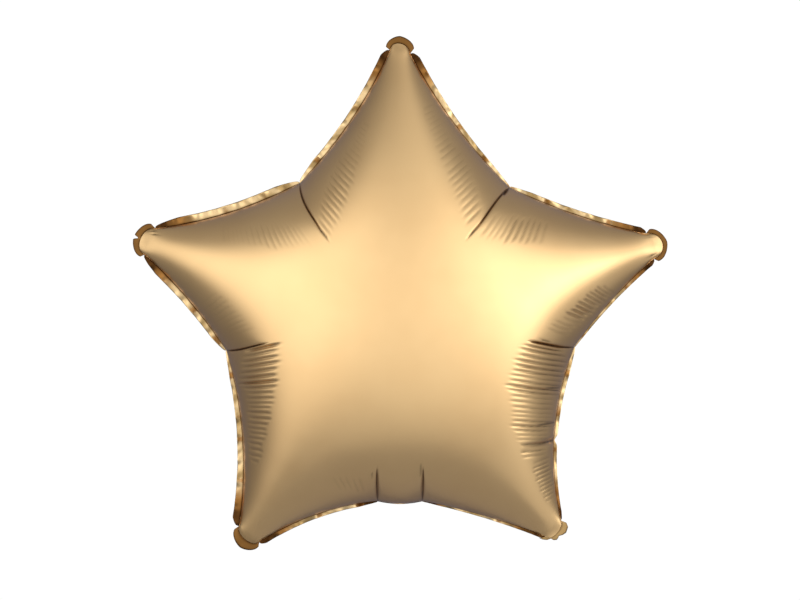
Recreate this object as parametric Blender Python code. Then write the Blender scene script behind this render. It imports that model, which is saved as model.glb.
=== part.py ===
# Star foil balloon: two foil sheets sealed to each other round a star and blown up tight.
# It is one sealed body. Nothing on it moves or comes apart.
# Metres and degrees. +Z is up and the front faces -Y. The origin is on the flat front of the top tab.
# Bearings are clockwise from straight up, as seen from the front.

import bmesh
import bpy
import numpy as np

# Five arms: how far the end of the tab lies from the star's centre, and on what bearing
TOP_REACH = 0.2363
TOP_BEARING = 0.0
RIGHT_REACH = 0.2335
RIGHT_BEARING = 74.2
LOW_RIGHT_REACH = 0.2286
LOW_RIGHT_BEARING = 144.0
LOW_LEFT_REACH = 0.2360
LOW_LEFT_BEARING = 214.8
LEFT_REACH = 0.2335
LEFT_BEARING = 286.8

# Inner corners of the seam, between the arms
TOP_RIGHT_CORNER_REACH = 0.1425
TOP_RIGHT_CORNER_BEARING = 40.2
RIGHT_CORNER_REACH = 0.1485
RIGHT_CORNER_BEARING = 99.8
LEFT_CORNER_REACH = 0.1485
LEFT_CORNER_BEARING = 259.1
TOP_LEFT_CORNER_REACH = 0.1405
TOP_LEFT_CORNER_BEARING = 323.3

# Fill neck, in place of the bottom corner: a flat two-layer tail folded up behind the balloon
NECK_REACH = 0.1555
NECK_WIDTH = 0.0372
NECK_LENGTH = 0.075
NECK_SAG = 0.0022
NECK_THICKNESS = 0.0012
NECK_LIFT = 0.0012
NECK_ROOT = 0.0030

# Width of each arm's waist, where its tab begins, and how much farther out its clockwise side lies
TOP_WAIST = 0.0160
TOP_SKEW = -0.0028
RIGHT_WAIST = 0.0212
RIGHT_SKEW = 0.0005
LOW_RIGHT_WAIST = 0.0180
LOW_RIGHT_SKEW = 0.0040
LOW_LEFT_WAIST = 0.0205
LOW_LEFT_SKEW = -0.0012
LEFT_WAIST = 0.0228
LEFT_SKEW = -0.0020

# Rounded tab at the end of each arm: its length from waist to end, and its full width
TOP_TAB_LENGTH = 0.0132
TOP_TAB_WIDTH = 0.0236
RIGHT_TAB_LENGTH = 0.0150
RIGHT_TAB_WIDTH = 0.0268
LOW_RIGHT_TAB_LENGTH = 0.0090
LOW_RIGHT_TAB_WIDTH = 0.0196
LOW_LEFT_TAB_LENGTH = 0.0134
LOW_LEFT_TAB_WIDTH = 0.0250
LEFT_TAB_LENGTH = 0.0138
LEFT_TAB_WIDTH = 0.0274
LEFT_TAB_SLIT = 0.0040
TAB_RIM = 0.0040
TAB_EAR = 0.0034
TAB_POINT = 1.3
MOUNT_INSET = 0.0020

# How far each edge is drawn in at its middle, anticlockwise edge first
TOP_DRAW = (0.0062, 0.0062)
RIGHT_DRAW = (0.0037, 0.0032)
LOW_RIGHT_DRAW = (0.0119, 0.0018)
LOW_LEFT_DRAW = (0.0060, 0.0100)
LEFT_DRAW = (0.0043, 0.0050)

# Seal margin outside the seam: widest part of each edge, in the same order
TOP_MARGIN = (0.0055, 0.0050)
RIGHT_MARGIN = (0.0036, 0.0018)
LOW_RIGHT_MARGIN = (0.0034, 0.0014)
LOW_LEFT_MARGIN = (0.0036, 0.0050)
LEFT_MARGIN = (0.0046, 0.0056)
LEAST_MARGIN = 0.0007
MARGIN_RISE = 0.05
MARGIN_FALL = 0.30
MARGIN_WAVE = 0.0005
MARGIN_WAVE_PITCH = 0.026
SHEET_THICKNESS = 0.0008

# How far the body swells from the seam plane to either side
FULL_HEIGHT = 0.110
FULLNESS = 3.0
LEAST_WIDTH = 0.0042
ARM_SPREAD = 0.62
ARM_BLEND = 0.030

# Creases that run in from the inner corners and from both sides of the neck
CREASE_LENGTH = 0.042
CREASE_DEPTH = 0.0065
CREASE_WIDTH = 0.0050
TOP_RIGHT_CREASE_SWING = -6.0
RIGHT_CREASE_SWING = -2.0
NECK_CREASE_SWING = 9.0
LEFT_CREASE_SWING = 0.0
TOP_LEFT_CREASE_SWING = -12.0

# Gathers: fine folds across the outer edges of both lower arms, measured from the inner corner
GATHER_PITCH = 0.0045
GATHER_DEPTH = 0.0009
GATHER_REACH = 0.033
LEFT_GATHERS = ((0.003, 0.088),)
RIGHT_GATHERS = ((0.003, 0.066), (0.097, 0.124))

# The extra crease half-way down the right lower arm, measured from the inner corner
PINCH_PLACE = 0.079
PINCH_WIDTH = 0.0030
PINCH_DEPTH = 0.0040
PINCH_REACH = 0.030

# How the lines across the foil run: how the middle line's steps crowd towards the centre, how soon
# the tab's roundness dies out along the arm, and how near a corner the lines start to follow its crease
MIDDLE_CROWDING = 1.25
TAB_FADE = 10
CORNER_BLEND = 6

# How finely the foil is divided
ON_SEAM = 1e-7
ROWS = 7
PLAIN_STEP = 0.0085
PINCH_STOPS = (-1.5, -0.5, 0.0, 0.5, 1.5)
NECK_STEPS = 6
NECK_SAMPLES = 60
NECK_BENDS = 15

SATIN_GOLD = (0.64, 0.44, 0.23, 1.0)
SATIN_ROUGHNESS = 0.36


def polar(reach, bearing):
    # A point of the front view, x to the right and z up, by distance and bearing.
    angle = np.radians(bearing)
    return reach * np.array([np.sin(angle), np.cos(angle)])


def side_of(direction):
    # The direction turned a quarter clockwise, as seen from the front.
    return np.array([direction[1], -direction[0]])


CENTRE = np.zeros(2)
NECK_DROP = np.sqrt(NECK_REACH**2 - (NECK_WIDTH / 2) ** 2)
NECK_RIGHT = np.array([NECK_WIDTH / 2, -NECK_DROP])
NECK_LEFT = np.array([-NECK_WIDTH / 2, -NECK_DROP])

# Each corner: where it is, and how many degrees its crease swings clockwise off the line to the centre
TOP_RIGHT_CORNER = (polar(TOP_RIGHT_CORNER_REACH, TOP_RIGHT_CORNER_BEARING), TOP_RIGHT_CREASE_SWING)
RIGHT_CORNER = (polar(RIGHT_CORNER_REACH, RIGHT_CORNER_BEARING), RIGHT_CREASE_SWING)
NECK_RIGHT_CORNER = (NECK_RIGHT, NECK_CREASE_SWING)
NECK_LEFT_CORNER = (NECK_LEFT, -NECK_CREASE_SWING)
LEFT_CORNER = (polar(LEFT_CORNER_REACH, LEFT_CORNER_BEARING), LEFT_CREASE_SWING)
TOP_LEFT_CORNER = (polar(TOP_LEFT_CORNER_REACH, TOP_LEFT_CORNER_BEARING), TOP_LEFT_CREASE_SWING)

# Each arm, clockwise from the top: its sizes, and the corners before and after it
ARMS = (
    dict(
        reach=TOP_REACH, bearing=TOP_BEARING, waist=TOP_WAIST, skew=TOP_SKEW,
        tab=(TOP_TAB_LENGTH, TOP_TAB_WIDTH), slit=0.0,
        draw=TOP_DRAW, margin=TOP_MARGIN, gathers=((), ()), pinch=(0.0, 0.0),
        corners=(TOP_LEFT_CORNER, TOP_RIGHT_CORNER),
    ),
    dict(
        reach=RIGHT_REACH, bearing=RIGHT_BEARING, waist=RIGHT_WAIST, skew=RIGHT_SKEW,
        tab=(RIGHT_TAB_LENGTH, RIGHT_TAB_WIDTH), slit=0.0,
        draw=RIGHT_DRAW, margin=RIGHT_MARGIN, gathers=((), ()), pinch=(0.0, 0.0),
        corners=(TOP_RIGHT_CORNER, RIGHT_CORNER),
    ),
    dict(
        reach=LOW_RIGHT_REACH, bearing=LOW_RIGHT_BEARING, waist=LOW_RIGHT_WAIST, skew=LOW_RIGHT_SKEW,
        tab=(LOW_RIGHT_TAB_LENGTH, LOW_RIGHT_TAB_WIDTH), slit=0.0,
        draw=LOW_RIGHT_DRAW, margin=LOW_RIGHT_MARGIN, gathers=(RIGHT_GATHERS, ()), pinch=(PINCH_DEPTH, 0.0),
        corners=(RIGHT_CORNER, NECK_RIGHT_CORNER),
    ),
    dict(
        reach=LOW_LEFT_REACH, bearing=LOW_LEFT_BEARING, waist=LOW_LEFT_WAIST, skew=LOW_LEFT_SKEW,
        tab=(LOW_LEFT_TAB_LENGTH, LOW_LEFT_TAB_WIDTH), slit=0.0,
        draw=LOW_LEFT_DRAW, margin=LOW_LEFT_MARGIN, gathers=((), LEFT_GATHERS), pinch=(0.0, 0.0),
        corners=(NECK_LEFT_CORNER, LEFT_CORNER),
    ),
    dict(
        reach=LEFT_REACH, bearing=LEFT_BEARING, waist=LEFT_WAIST, skew=LEFT_SKEW,
        tab=(LEFT_TAB_LENGTH, LEFT_TAB_WIDTH), slit=LEFT_TAB_SLIT,
        draw=LEFT_DRAW, margin=LEFT_MARGIN, gathers=((), ()), pinch=(0.0, 0.0),
        corners=(LEFT_CORNER, TOP_LEFT_CORNER),
    ),
)


def of_side(pair, side):
    # What a pair holds for one side of an arm: -1 is the edge before its axis, +1 the edge after it.
    return pair[(side + 1) // 2]


def hump(run):
    # Rises from nothing to 1 at a third of the run, then dies out to its end.
    return 27 / 4 * run * (1 - run) ** 2


def tab_base(arm):
    return polar(arm["reach"] - arm["tab"][0], arm["bearing"])


def waist_side(arm, side):
    # From the tab's base to where the seam leaves the edge.
    outward = polar(1.0, arm["bearing"])
    return side * (side_of(outward) * arm["waist"] + outward * arm["skew"]) / 2


def waist_point(arm, side):
    return tab_base(arm) + waist_side(arm, side)


def edge_points(arm, side, s):
    # One edge's seam from the waist (s = 0) to the inner corner (s = 1), drawn in like a bow.
    start = waist_point(arm, side)
    end = of_side(arm["corners"], side)[0]
    along = end - start
    inward = side_of(along / np.linalg.norm(along)) * side
    bow = 4 * s * (1 - s) * of_side(arm["draw"], side)
    return start + np.outer(s, along) + np.outer(bow, inward)


def crease_line(corner, t):
    # From an inner corner (t = 0) to the centre (t = 1), leaving the corner along its crease.
    place, swing = corner
    reach = np.linalg.norm(place)
    bearing = np.degrees(np.arctan2(-place[0], -place[1]))
    guide = place + polar(reach / 2, bearing + swing)
    return np.outer((1 - t) ** 2, place) + np.outer(2 * t * (1 - t), guide) + np.outer(t**2, CENTRE)


def edge_length(arm, side):
    return np.linalg.norm(of_side(arm["corners"], side)[0] - waist_point(arm, side))


def arm_steps(arm):
    # Fractions from waist to corner, the same for both edges: fine where one is gathered, coarse elsewhere.
    stops = [0.0, 1.0]
    for side in (-1, 1):
        length = edge_length(arm, side)
        for first, last in of_side(arm["gathers"], side):
            folds = gather_count(first, last)
            stops.extend(1 - np.linspace(first, last, 2 * folds + 1) / length)
        if of_side(arm["pinch"], side):
            stops.extend(1 - (PINCH_PLACE + PINCH_WIDTH * np.array(PINCH_STOPS)) / length)
    stops = sorted(stops)
    longest = max(edge_length(arm, side) for side in (-1, 1))
    steps = [0.0]
    for before, after in zip(stops[:-1], stops[1:]):
        parts = max(1, int(np.ceil((after - before) * longest / PLAIN_STEP)))
        steps.extend(before + (after - before) * np.arange(1, parts + 1) / parts)
    return np.clip(np.array(steps), 0, 1)


def gather_count(first, last):
    return max(1, round((last - first) / GATHER_PITCH))


def tab_seam(arm, side, turn):
    # The seam round the tab, from the waist (no turn) to the arm's axis (a quarter turn).
    outward = polar(1.0, arm["bearing"])
    rise = np.sin(turn) * (arm["tab"][0] - TAB_RIM)
    return tab_base(arm) + np.outer(np.cos(turn), waist_side(arm, side)) + np.outer(rise, outward)


def tab_outline(arm, side):
    # The tab's outer edge from the waist to its end: out to a rounded ear, then round to the axis.
    outward = polar(1.0, arm["bearing"])
    across = waist_side(arm, side)
    turn = np.linspace(0.0, np.pi / 2, ROWS)
    width = np.cos(turn) ** TAB_POINT * arm["tab"][1] / 2
    rise = TAB_EAR + (arm["tab"][0] - TAB_EAR) * np.sin(turn) + side * arm["skew"] / 4 * np.cos(turn)
    rise[-1] -= arm["slit"]
    waist = waist_point(arm, side) + across / np.linalg.norm(across) * LEAST_MARGIN
    lobe = tab_base(arm) + np.outer(width, side_of(outward) * side) + np.outer(rise, outward)
    return np.vstack([waist, lobe])


def soft_distance(points, seam):
    # A smooth distance to the seam: half a turn divided by the sum, over the seam's straight pieces,
    # of the angle that a piece takes up at the point over its distance from the point.
    total = np.zeros(len(points))
    for start, end in zip(seam, np.roll(seam, -1, axis=0)):
        a = start - points
        b = end - points
        cross = a[:, 0] * b[:, 1] - a[:, 1] * b[:, 0]
        dot = (a * b).sum(axis=1)
        angle = np.arctan2(cross, dot)
        flat = np.abs(cross) < 1e-12
        ratio = np.where(flat, 1 / np.where(flat, np.abs(dot) + 1e-12, 1), angle / np.where(flat, 1, cross))
        total += ratio * np.linalg.norm(end - start)
    return np.pi / total


def swell(points, seam):
    # Height of the foil over the seam plane. The distance in from the nearest tab is a soft minimum over the
    # arms. The foil widens with it, a round section on that width gives the height, and the widest part is
    # held back.
    ins = [arm["reach"] - points @ polar(1.0, arm["bearing"]) for arm in ARMS]
    inmost = -ARM_BLEND * np.log(sum(np.exp(-way / ARM_BLEND) for way in ins))
    width = LEAST_WIDTH + ARM_SPREAD * np.maximum(inmost, 0)
    soft = soft_distance(points, seam)
    height = np.sqrt(2 * width * np.where(soft < ON_SEAM, 0, soft))
    return height / (1 + (height / FULL_HEIGHT) ** FULLNESS) ** (1 / FULLNESS)


def gather_push(arm, side, s, inset):
    # Fine folds: a wave along the edge in each gathered stretch, strongest a little way in from the seam.
    place = (1 - s) * edge_length(arm, side)
    reach = hump(np.clip(inset / np.minimum(GATHER_REACH, inset[:, -1:]), 0, 1))
    push = np.zeros_like(inset)
    for first, last in of_side(arm["gathers"], side):
        folds = gather_count(first, last)
        phase = np.clip((place - first) / (last - first), 0, 1)
        ends = np.minimum(1, folds * np.minimum(phase, 1 - phase))
        wave = ends * (np.cos(2 * np.pi * folds * phase) - 1) / 2
        push += GATHER_DEPTH * wave[:, None] * reach
    pinch = of_side(arm["pinch"], side) * np.exp(-((place - PINCH_PLACE) / PINCH_WIDTH) ** 2)
    room = np.minimum(PINCH_REACH, inset[:, -1:])
    return push - pinch[:, None] * np.clip(1 - inset / room, 0, 1)


def crease_push(off, line):
    # Depth of a crease at a distance off its line: a sharp valley that dies out along the line.
    run = np.clip(np.linalg.norm(line - line[0], axis=1) / CREASE_LENGTH, 0, 1)
    return CREASE_DEPTH * np.exp(-off / CREASE_WIDTH) * hump(run)[None]


def foil_grid(plan, inward, push, seam):
    # Lifts a grid of plan points, rows from the seam inwards, into the front sheet's swollen form.
    rows = plan.shape[1]
    turn = np.linspace(0.0, np.pi / 2, rows)
    height = swell(plan.reshape(-1, 2), seam).reshape(plan.shape[:2])
    height[:, 0] = 0.0
    out = plan - inward * (push * np.cos(turn))[:, :, None]
    height = height + push * np.sin(turn)
    return np.dstack([out[:, :, 0], -height, out[:, :, 1]])


def sector(arm, side, seam):
    # Half an arm: from its seam to its middle line, and from its tab to the star's centre.
    s = arm_steps(arm)
    turn = np.linspace(0.0, np.pi / 2, ROWS + 1)
    t = 1 - np.cos(turn)
    outward = polar(1.0, arm["bearing"])
    edge = edge_points(arm, side, s)
    middle = tab_base(arm) * (1 - s[:, None] ** MIDDLE_CROWDING)
    plan = edge[:, None] * (1 - t)[None, :, None] + middle[:, None] * t[None, :, None]
    head = (arm["tab"][0] - TAB_RIM) * (1 - s) ** TAB_FADE
    plan += head[:, None, None] * np.sin(turn)[None, :, None] * outward
    bend = crease_line(of_side(arm["corners"], side), t) - plan[-1]
    plan += bend[None] * (s**CORNER_BLEND)[:, None, None]
    inset = np.linalg.norm(plan - edge[:, None], axis=2)
    inward = np.zeros_like(plan)
    inward[:, 1:] = (plan[:, 1:] - edge[:, None]) / np.maximum(inset[:, 1:], 1e-9)[:, :, None]
    off = np.linalg.norm(plan - plan[-1][None], axis=2)
    push = gather_push(arm, side, s, inset) - crease_push(off, plan[-1])
    push[:, 0] = 0.0
    push[0] = 0.0
    return foil_grid(plan, inward, push, seam)


def neck_fan(seam):
    # The front sheet above the fill neck: a narrow fan between the two neck creases.
    s = np.linspace(0.0, 1.0, NECK_STEPS + 1)
    turn = np.linspace(0.0, np.pi / 2, ROWS + 1)
    t = 1 - np.cos(turn)
    right = crease_line(NECK_RIGHT_CORNER, t)
    left = crease_line(NECK_LEFT_CORNER, t)
    plan = right[None] * (1 - s)[:, None, None] + left[None] * s[:, None, None]
    plan += (neck_mouth(s) - plan[:, 0])[:, None] * ((1 - t) ** 2)[None, :, None]
    inset = np.linalg.norm(plan - plan[:, :1], axis=2)
    inward = np.zeros_like(plan)
    inward[:, 1:] = (plan[:, 1:] - plan[:, :1]) / np.maximum(inset[:, 1:], 1e-9)[:, :, None]
    off = np.minimum(*(np.linalg.norm(plan - line[None], axis=2) for line in (right, left)))
    push = -crease_push(off, right)
    push[:, 0] = 0.0
    return foil_grid(plan, inward, push, seam)


def margin_width(arm, side, s):
    # The seal margin's width along an edge: widest near the tab, least at both ends and at the pinch.
    room = np.sqrt(np.clip(s / MARGIN_RISE, 0, 1) * np.clip((1 - s) / MARGIN_FALL, 0, 1))
    if of_side(arm["pinch"], side):
        room *= 1 - np.exp(-(((1 - s) * edge_length(arm, side) - PINCH_PLACE) / PINCH_WIDTH) ** 2)
    return LEAST_MARGIN + (of_side(arm["margin"], side) - LEAST_MARGIN) * room


def half_rim(arm, side):
    # Seam and outer edge of half an arm, from the inner corner to the middle of the tab, and how far each
    # point of the outer edge waves out of the seam plane. The tab itself stays flat.
    s = arm_steps(arm)
    edge = edge_points(arm, side, s)
    slope = np.gradient(edge, axis=0)
    slope /= np.linalg.norm(slope, axis=1)[:, None]
    away = np.column_stack([-slope[:, 1], slope[:, 0]]) * side
    away[-1] = edge[-1] / np.linalg.norm(edge[-1])
    flank = edge + away * margin_width(arm, side, s)[:, None]
    wave = MARGIN_WAVE * np.sin(2 * np.pi * s * edge_length(arm, side) / MARGIN_WAVE_PITCH)
    lip = tab_outline(arm, side)
    turn = np.linspace(0.0, np.pi / 2, ROWS + 1)
    seam = np.vstack([edge[::-1], tab_seam(arm, side, turn)[1:]])
    return seam, np.vstack([flank[:0:-1], lip]), np.concatenate([wave[:0:-1], np.zeros(len(lip))])


def neck_mouth(s):
    # Where the sheets run into the fill neck: from its right side to its left, sagging between.
    line = NECK_RIGHT + np.outer(s, NECK_LEFT - NECK_RIGHT)
    return line - np.column_stack([0 * s, 4 * s * (1 - s) * NECK_SAG])


def star_rim():
    # The seam, the sheets' outer edge and its wave, point for point and clockwise from the top arm.
    rings = []
    for arm in ARMS:
        before = half_rim(arm, -1)
        after = half_rim(arm, 1)
        rings.append(before)
        rings.append([ring[-2:0:-1] for ring in after])
        if arm["corners"][1] is NECK_RIGHT_CORNER:
            mouth = neck_mouth(np.linspace(0.0, 1.0, NECK_STEPS + 1)[:-1])
            rings.append((mouth, mouth - np.array([0.0, LEAST_MARGIN]), np.zeros(len(mouth))))
    return [np.concatenate(parts) for parts in zip(*rings)]


def add_grid(shell, points, back):
    # Adds a grid of quads to the shell. The back sheet is the front one mirrored in the seam plane.
    if back:
        points = points * np.array([1, -1, 1]) + np.array([0, SHEET_THICKNESS, 0])
    verts = [[shell.verts.new(point) for point in row] for row in points]
    for i in range(len(verts) - 1):
        for j in range(len(verts[0]) - 1):
            shell.faces.new((verts[i][j], verts[i + 1][j], verts[i + 1][j + 1], verts[i][j + 1]))


def sealed_body(seam, outer, wave):
    # Both sheets and the seal margin between them, as one closed skin.
    shell = bmesh.new()
    grids = [sector(arm, side, seam) for arm in ARMS for side in (-1, 1)]
    grids.append(neck_fan(seam))
    for grid in grids:
        add_grid(shell, grid, False)
        add_grid(shell, grid, True)
    flat = np.zeros(len(wave))
    levels = ((seam, flat), (outer, wave), (outer, wave + SHEET_THICKNESS), (seam, flat + SHEET_THICKNESS))
    band = [np.column_stack([ring[:, 0], y, ring[:, 1]]) for ring, y in levels]
    add_grid(shell, np.stack([np.vstack([row, row[:1]]) for row in band]), False)
    bmesh.ops.remove_doubles(shell, verts=shell.verts, dist=1e-6)
    bmesh.ops.recalc_face_normals(shell, faces=shell.faces)
    return shell


def neck_path(seam):
    # The tail's middle line, y against z: out of the mouth, round, and up the back at a small lift.
    rise = NECK_LENGTH * np.linspace(0.0, 1.0, NECK_SAMPLES) ** 2
    points = np.column_stack([0 * rise, rise - NECK_DROP - NECK_SAG])
    wall = np.column_stack([SHEET_THICKNESS + swell(points, seam), points[:, 1]])
    slope = np.gradient(wall, axis=0)
    slope /= np.linalg.norm(slope, axis=1)[:, None]
    path = wall + (NECK_LIFT + NECK_THICKNESS / 2) * np.column_stack([slope[:, 1], -slope[:, 0]])
    run = np.concatenate([[0], np.cumsum(np.linalg.norm(np.diff(path, axis=0), axis=1))])
    stops = np.linspace(0.0, NECK_LENGTH, NECK_BENDS + 1)
    path = np.column_stack([np.interp(stops, run, path[:, axis]) for axis in (0, 1)])
    root = np.array([[SHEET_THICKNESS / 2, NECK_ROOT - NECK_DROP - NECK_SAG]])
    return np.vstack([root, path[1:]])


def neck_tail(seam):
    # A flat strip along the tail's path.
    path = neck_path(seam)
    slope = np.gradient(path, axis=0)
    slope /= np.linalg.norm(slope, axis=1)[:, None]
    off = np.column_stack([slope[:, 1], -slope[:, 0]]) * NECK_THICKNESS / 2
    shell = bmesh.new()
    half = NECK_WIDTH / 2 - NECK_THICKNESS
    hoops = []
    for place, shift in zip(path, off):
        under = place - shift
        over = place + shift
        corners = [(-half, *under), (half, *under), (half, *over), (-half, *over)]
        hoops.append([shell.verts.new(corner) for corner in corners])
    for hoop, after in zip(hoops[:-1], hoops[1:]):
        for i in range(len(hoop)):
            shell.faces.new((hoop[i - 1], hoop[i], after[i], after[i - 1]))
    shell.faces.new(hoops[0][::-1])
    shell.faces.new(hoops[-1])
    bmesh.ops.recalc_face_normals(shell, faces=shell.faces)
    return shell


def placed(name, shell):
    # Turns a shell into a named, smooth-shaded object, with the top tab's face at the origin.
    mesh = bpy.data.meshes.new(name)
    bmesh.ops.translate(shell, verts=shell.verts, vec=(0, 0, MOUNT_INSET - TOP_REACH))
    shell.to_mesh(mesh)
    shell.free()
    mesh.shade_smooth()
    thing = bpy.data.objects.new(name, mesh)
    bpy.context.scene.collection.objects.link(thing)
    return thing


def joined(body, piece):
    # Makes the piece part of the body's solid.
    piece.hide_render = True
    piece.display_type = "WIRE"
    union = body.modifiers.new("joined_" + piece.name, "BOOLEAN")
    union.operation = "UNION"
    union.solver = "EXACT"
    union.object = piece


def satin_gold():
    gold = bpy.data.materials.new("satin_gold_foil")
    gold.use_nodes = True
    shader = gold.node_tree.nodes["Principled BSDF"]
    shader.inputs["Base Color"].default_value = SATIN_GOLD
    shader.inputs["Metallic"].default_value = 1.0
    shader.inputs["Roughness"].default_value = SATIN_ROUGHNESS
    return gold


def main():
    for old in list(bpy.data.objects):
        bpy.data.objects.remove(old)
    seam, outer, wave = star_rim()
    balloon = placed("star_balloon", sealed_body(seam, outer, wave))
    balloon.data.materials.append(satin_gold())
    joined(balloon, placed("fill_neck", neck_tail(seam)))


main()
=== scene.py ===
# Star foil balloon: satin gold foil, blown up tight, hung by its top tab in front of a pale backdrop.
# Metres, +Z up, the front faces -Y. The plan is drawn round the star's centre, x to the right and z up.
import bpy
import numpy as np
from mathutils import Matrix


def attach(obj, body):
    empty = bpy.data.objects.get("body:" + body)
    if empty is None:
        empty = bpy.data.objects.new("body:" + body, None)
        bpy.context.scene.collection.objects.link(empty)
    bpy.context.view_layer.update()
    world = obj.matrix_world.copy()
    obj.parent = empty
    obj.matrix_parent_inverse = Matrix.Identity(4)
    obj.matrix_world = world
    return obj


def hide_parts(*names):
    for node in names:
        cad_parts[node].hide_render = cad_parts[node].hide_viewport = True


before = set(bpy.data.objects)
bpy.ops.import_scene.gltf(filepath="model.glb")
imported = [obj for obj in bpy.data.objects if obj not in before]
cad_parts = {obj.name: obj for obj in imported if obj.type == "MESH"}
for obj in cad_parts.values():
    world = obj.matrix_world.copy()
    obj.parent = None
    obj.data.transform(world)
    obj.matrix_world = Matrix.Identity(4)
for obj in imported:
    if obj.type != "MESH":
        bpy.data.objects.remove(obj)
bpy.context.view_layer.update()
print("frame loaded")

# The arms, clockwise from the top one. In each pair the edge before the arm's axis comes first.
# reach and bearing: length from the centre, and direction clockwise from straight up
# waist and skew: width at the tab's foot, and how much further out the foot's later end lies
# tab: its height, its width and the depth of its flat seal; slit: depth of the slit in its end
# draw and margin: how far each edge is drawn in, and width of the seal margin outside it
# taper: how much wider the margin is beside the tab than at the corner
# shoulder: share of the edge over which the margin widens from the tab
# fine: length beside the inner corners that is gathered, and so divided finely
# pinch: distance of a nip in the first edge from its corner
# lobes: outline of a crumpled tab before and after the axis, in millimetres across and out
arms = [
    {"reach": .2363, "bearing": 0.0, "waist": .0160, "skew": -.0028, "tab": (.0132, .0236, .0064), "slit": 0.0,
     "draw": (.0060, .0053), "margin": (.0055, .0045), "taper": (.2, .9), "shoulder": (.05, .05), "fine": .128},
    {"reach": .2335, "bearing": 74.2, "waist": .0212, "skew": .0005, "tab": (.0150, .0280, .0044), "slit": 0.0,
     "draw": (.0037, .0030), "margin": (.0044, .0026), "taper": (.3, 1.4), "shoulder": (.05, .05), "fine": .074},
    {"reach": .2286, "bearing": 144.0, "waist": .0180, "skew": .0040, "tab": (.0090, .0196, .0040), "slit": 0.0,
     "draw": (.0110, .0024), "margin": (.0031, .0020), "taper": (-.8, 1.2), "shoulder": (.05, .05), "fine": .132,
     "pinch": .079,
     "lobes": (((9.1, -1.2), (11.6, 2.6), (10.6, 6.4), (6.4, 9.4), (3.0, 9.2), (0, 8.0)),
               ((14.8, -.8), (12.8, 2.6), (10.0, 5.0), (7.0, 5.6), (5.8, 8.2), (3.6, 9.6), (1.6, 9.0),
                (0, 8.0)))},
    {"reach": .2360, "bearing": 214.8, "waist": .0205, "skew": -.0012, "tab": (.0134, .0250, .0082), "slit": 0.0,
     "draw": (.0062, .0084), "margin": (.0036, .0050), "taper": (.5, .9), "shoulder": (.05, .05), "fine": .104},
    {"reach": .2341, "bearing": 286.8, "waist": .0228, "skew": -.0020, "tab": (.0142, .0290, .0064),
     "slit": .0040, "draw": (.0034, .0060), "margin": (.0054, .0068), "taper": (.4, 0), "shoulder": (.17, .16),
     "fine": .086},
]
# Reach and bearing of each inner corner, how far its crease swings clockwise off the line to the centre, the
# crease's length, and how far it bows out to its clockwise side
corners = {"topRight": (.1425, 40.2, -1.5, .047, .0014), "right": (.1485, 99.8, -2.0, .040, -.0009),
           "left": (.1485, 259.1, 0.0, .037, .0009), "topLeft": (.1405, 323.3, 17.5, .047, .0018)}
# The fill neck's mouth, its two creases and the tail behind it. lift is the gap from the back sheet to the tail's
# middle, root and shift are how far it starts above the mouth and how far the rest of it is moved up. section holds
# the powers that flatten its elliptical section, across and through, and its bow is full past bowStart.
neck = {"reach": .1555, "width": .0372, "sag": .0022, "swing": 9.0, "crease": .031,
        "length": .075, "lift": .0018, "root": .0042, "shift": .0030, "inset": .0008, "halfThickness": .0005,
        "section": (.35, .8), "bow": .0008, "bowStart": .02, "ripple": .00035, "rippleLength": .019,
        "rippleSlant": 1.4}
# hang is how high the origin lies over the star's centre, and rows counts the steps from seam to middle line.
# creaseSteps are distances of the rows nearest a crease. Beside the seam painted shade darkens the foil by footShade
# over footTurn, and its gathers fade over calmTurn, both in radians of the turn from seam to middle. The powers are
# those by which an arm's middle line runs to the centre, and its rows' bulge at the tab and bend at a crease die
# out.
sheet = {"thickness": .0008, "hang": .2363 - .0020, "rows": 52, "fineStep": .00072, "plainStep": .0024,
         "creaseSteps": (0, .0003, .0006, .001, .0015, .0021), "footShade": .6, "footTurn": .2, "calmTurn": .22,
         "middlePower": 1.25, "bulgePower": 10, "bendPower": 6}
# fullHeight is the half depth that the star nears, and fullness how sharply. An arm's width grows from leastWidth by
# armSpread with the distance from its tab. Its tip is flatter by tipFlat, dying out over tipReach from tipStart on,
# and painted shade darkens it by tipShade up to tipShadeEnd past the tab, fading over tipShadeFade.
swollen = {"fullHeight": .110, "fullness": 3.0, "leastWidth": .0042, "armSpread": .62, "armBlend": .030,
           "tipFlat": .95, "tipStart": .0052, "tipReach": .017, "tipShade": .26, "tipShadeEnd": .003, "tipShadeFade": .005}
weldStep = 2e-6   # points closer than this are one


def polar(reach, bearing):
    # point at a distance and a bearing
    angle = np.radians(bearing)
    return reach * np.array([np.sin(angle), np.cos(angle)])


def unitRows(rows):
    # each row scaled to length 1
    return rows / np.linalg.norm(rows, axis=1)[:, None]


def fadeOut(distance, stops):
    # 1 up to the first stop and 0 from the second one on
    return 1 - np.clip((distance - stops[0]) / (stops[1] - stops[0]), 0, 1)


def sideOf(direction):
    # the direction turned a quarter clockwise
    return np.array([direction[1], -direction[0]])


neckDrop = np.sqrt(neck["reach"] ** 2 - (neck["width"] / 2) ** 2)
cornerPlaces = {name: (polar(reach, bearing), *values) for name, (reach, bearing, *values) in corners.items()}
cornerPlaces["neckRight"] = (np.array([neck["width"] / 2, -neckDrop]), neck["swing"], neck["crease"], 0)
cornerPlaces["neckLeft"] = (np.array([-neck["width"] / 2, -neckDrop]), -neck["swing"], neck["crease"], 0)
for arm, ends in zip(arms, (("topLeft", "topRight"), ("topRight", "right"), ("right", "neckRight"),
                            ("neckLeft", "left"), ("left", "topLeft"))):
    arm["corners"] = [cornerPlaces[name] for name in ends]
    arm["out"] = polar(1.0, arm["bearing"])
    arm["base"] = arm["out"] * (arm["reach"] - arm["tab"][0])


def waistSide(arm, side):
    # from the tab's base to where the seam leaves the edge
    return side * (sideOf(arm["out"]) * arm["waist"] + arm["out"] * arm["skew"]) / 2


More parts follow.
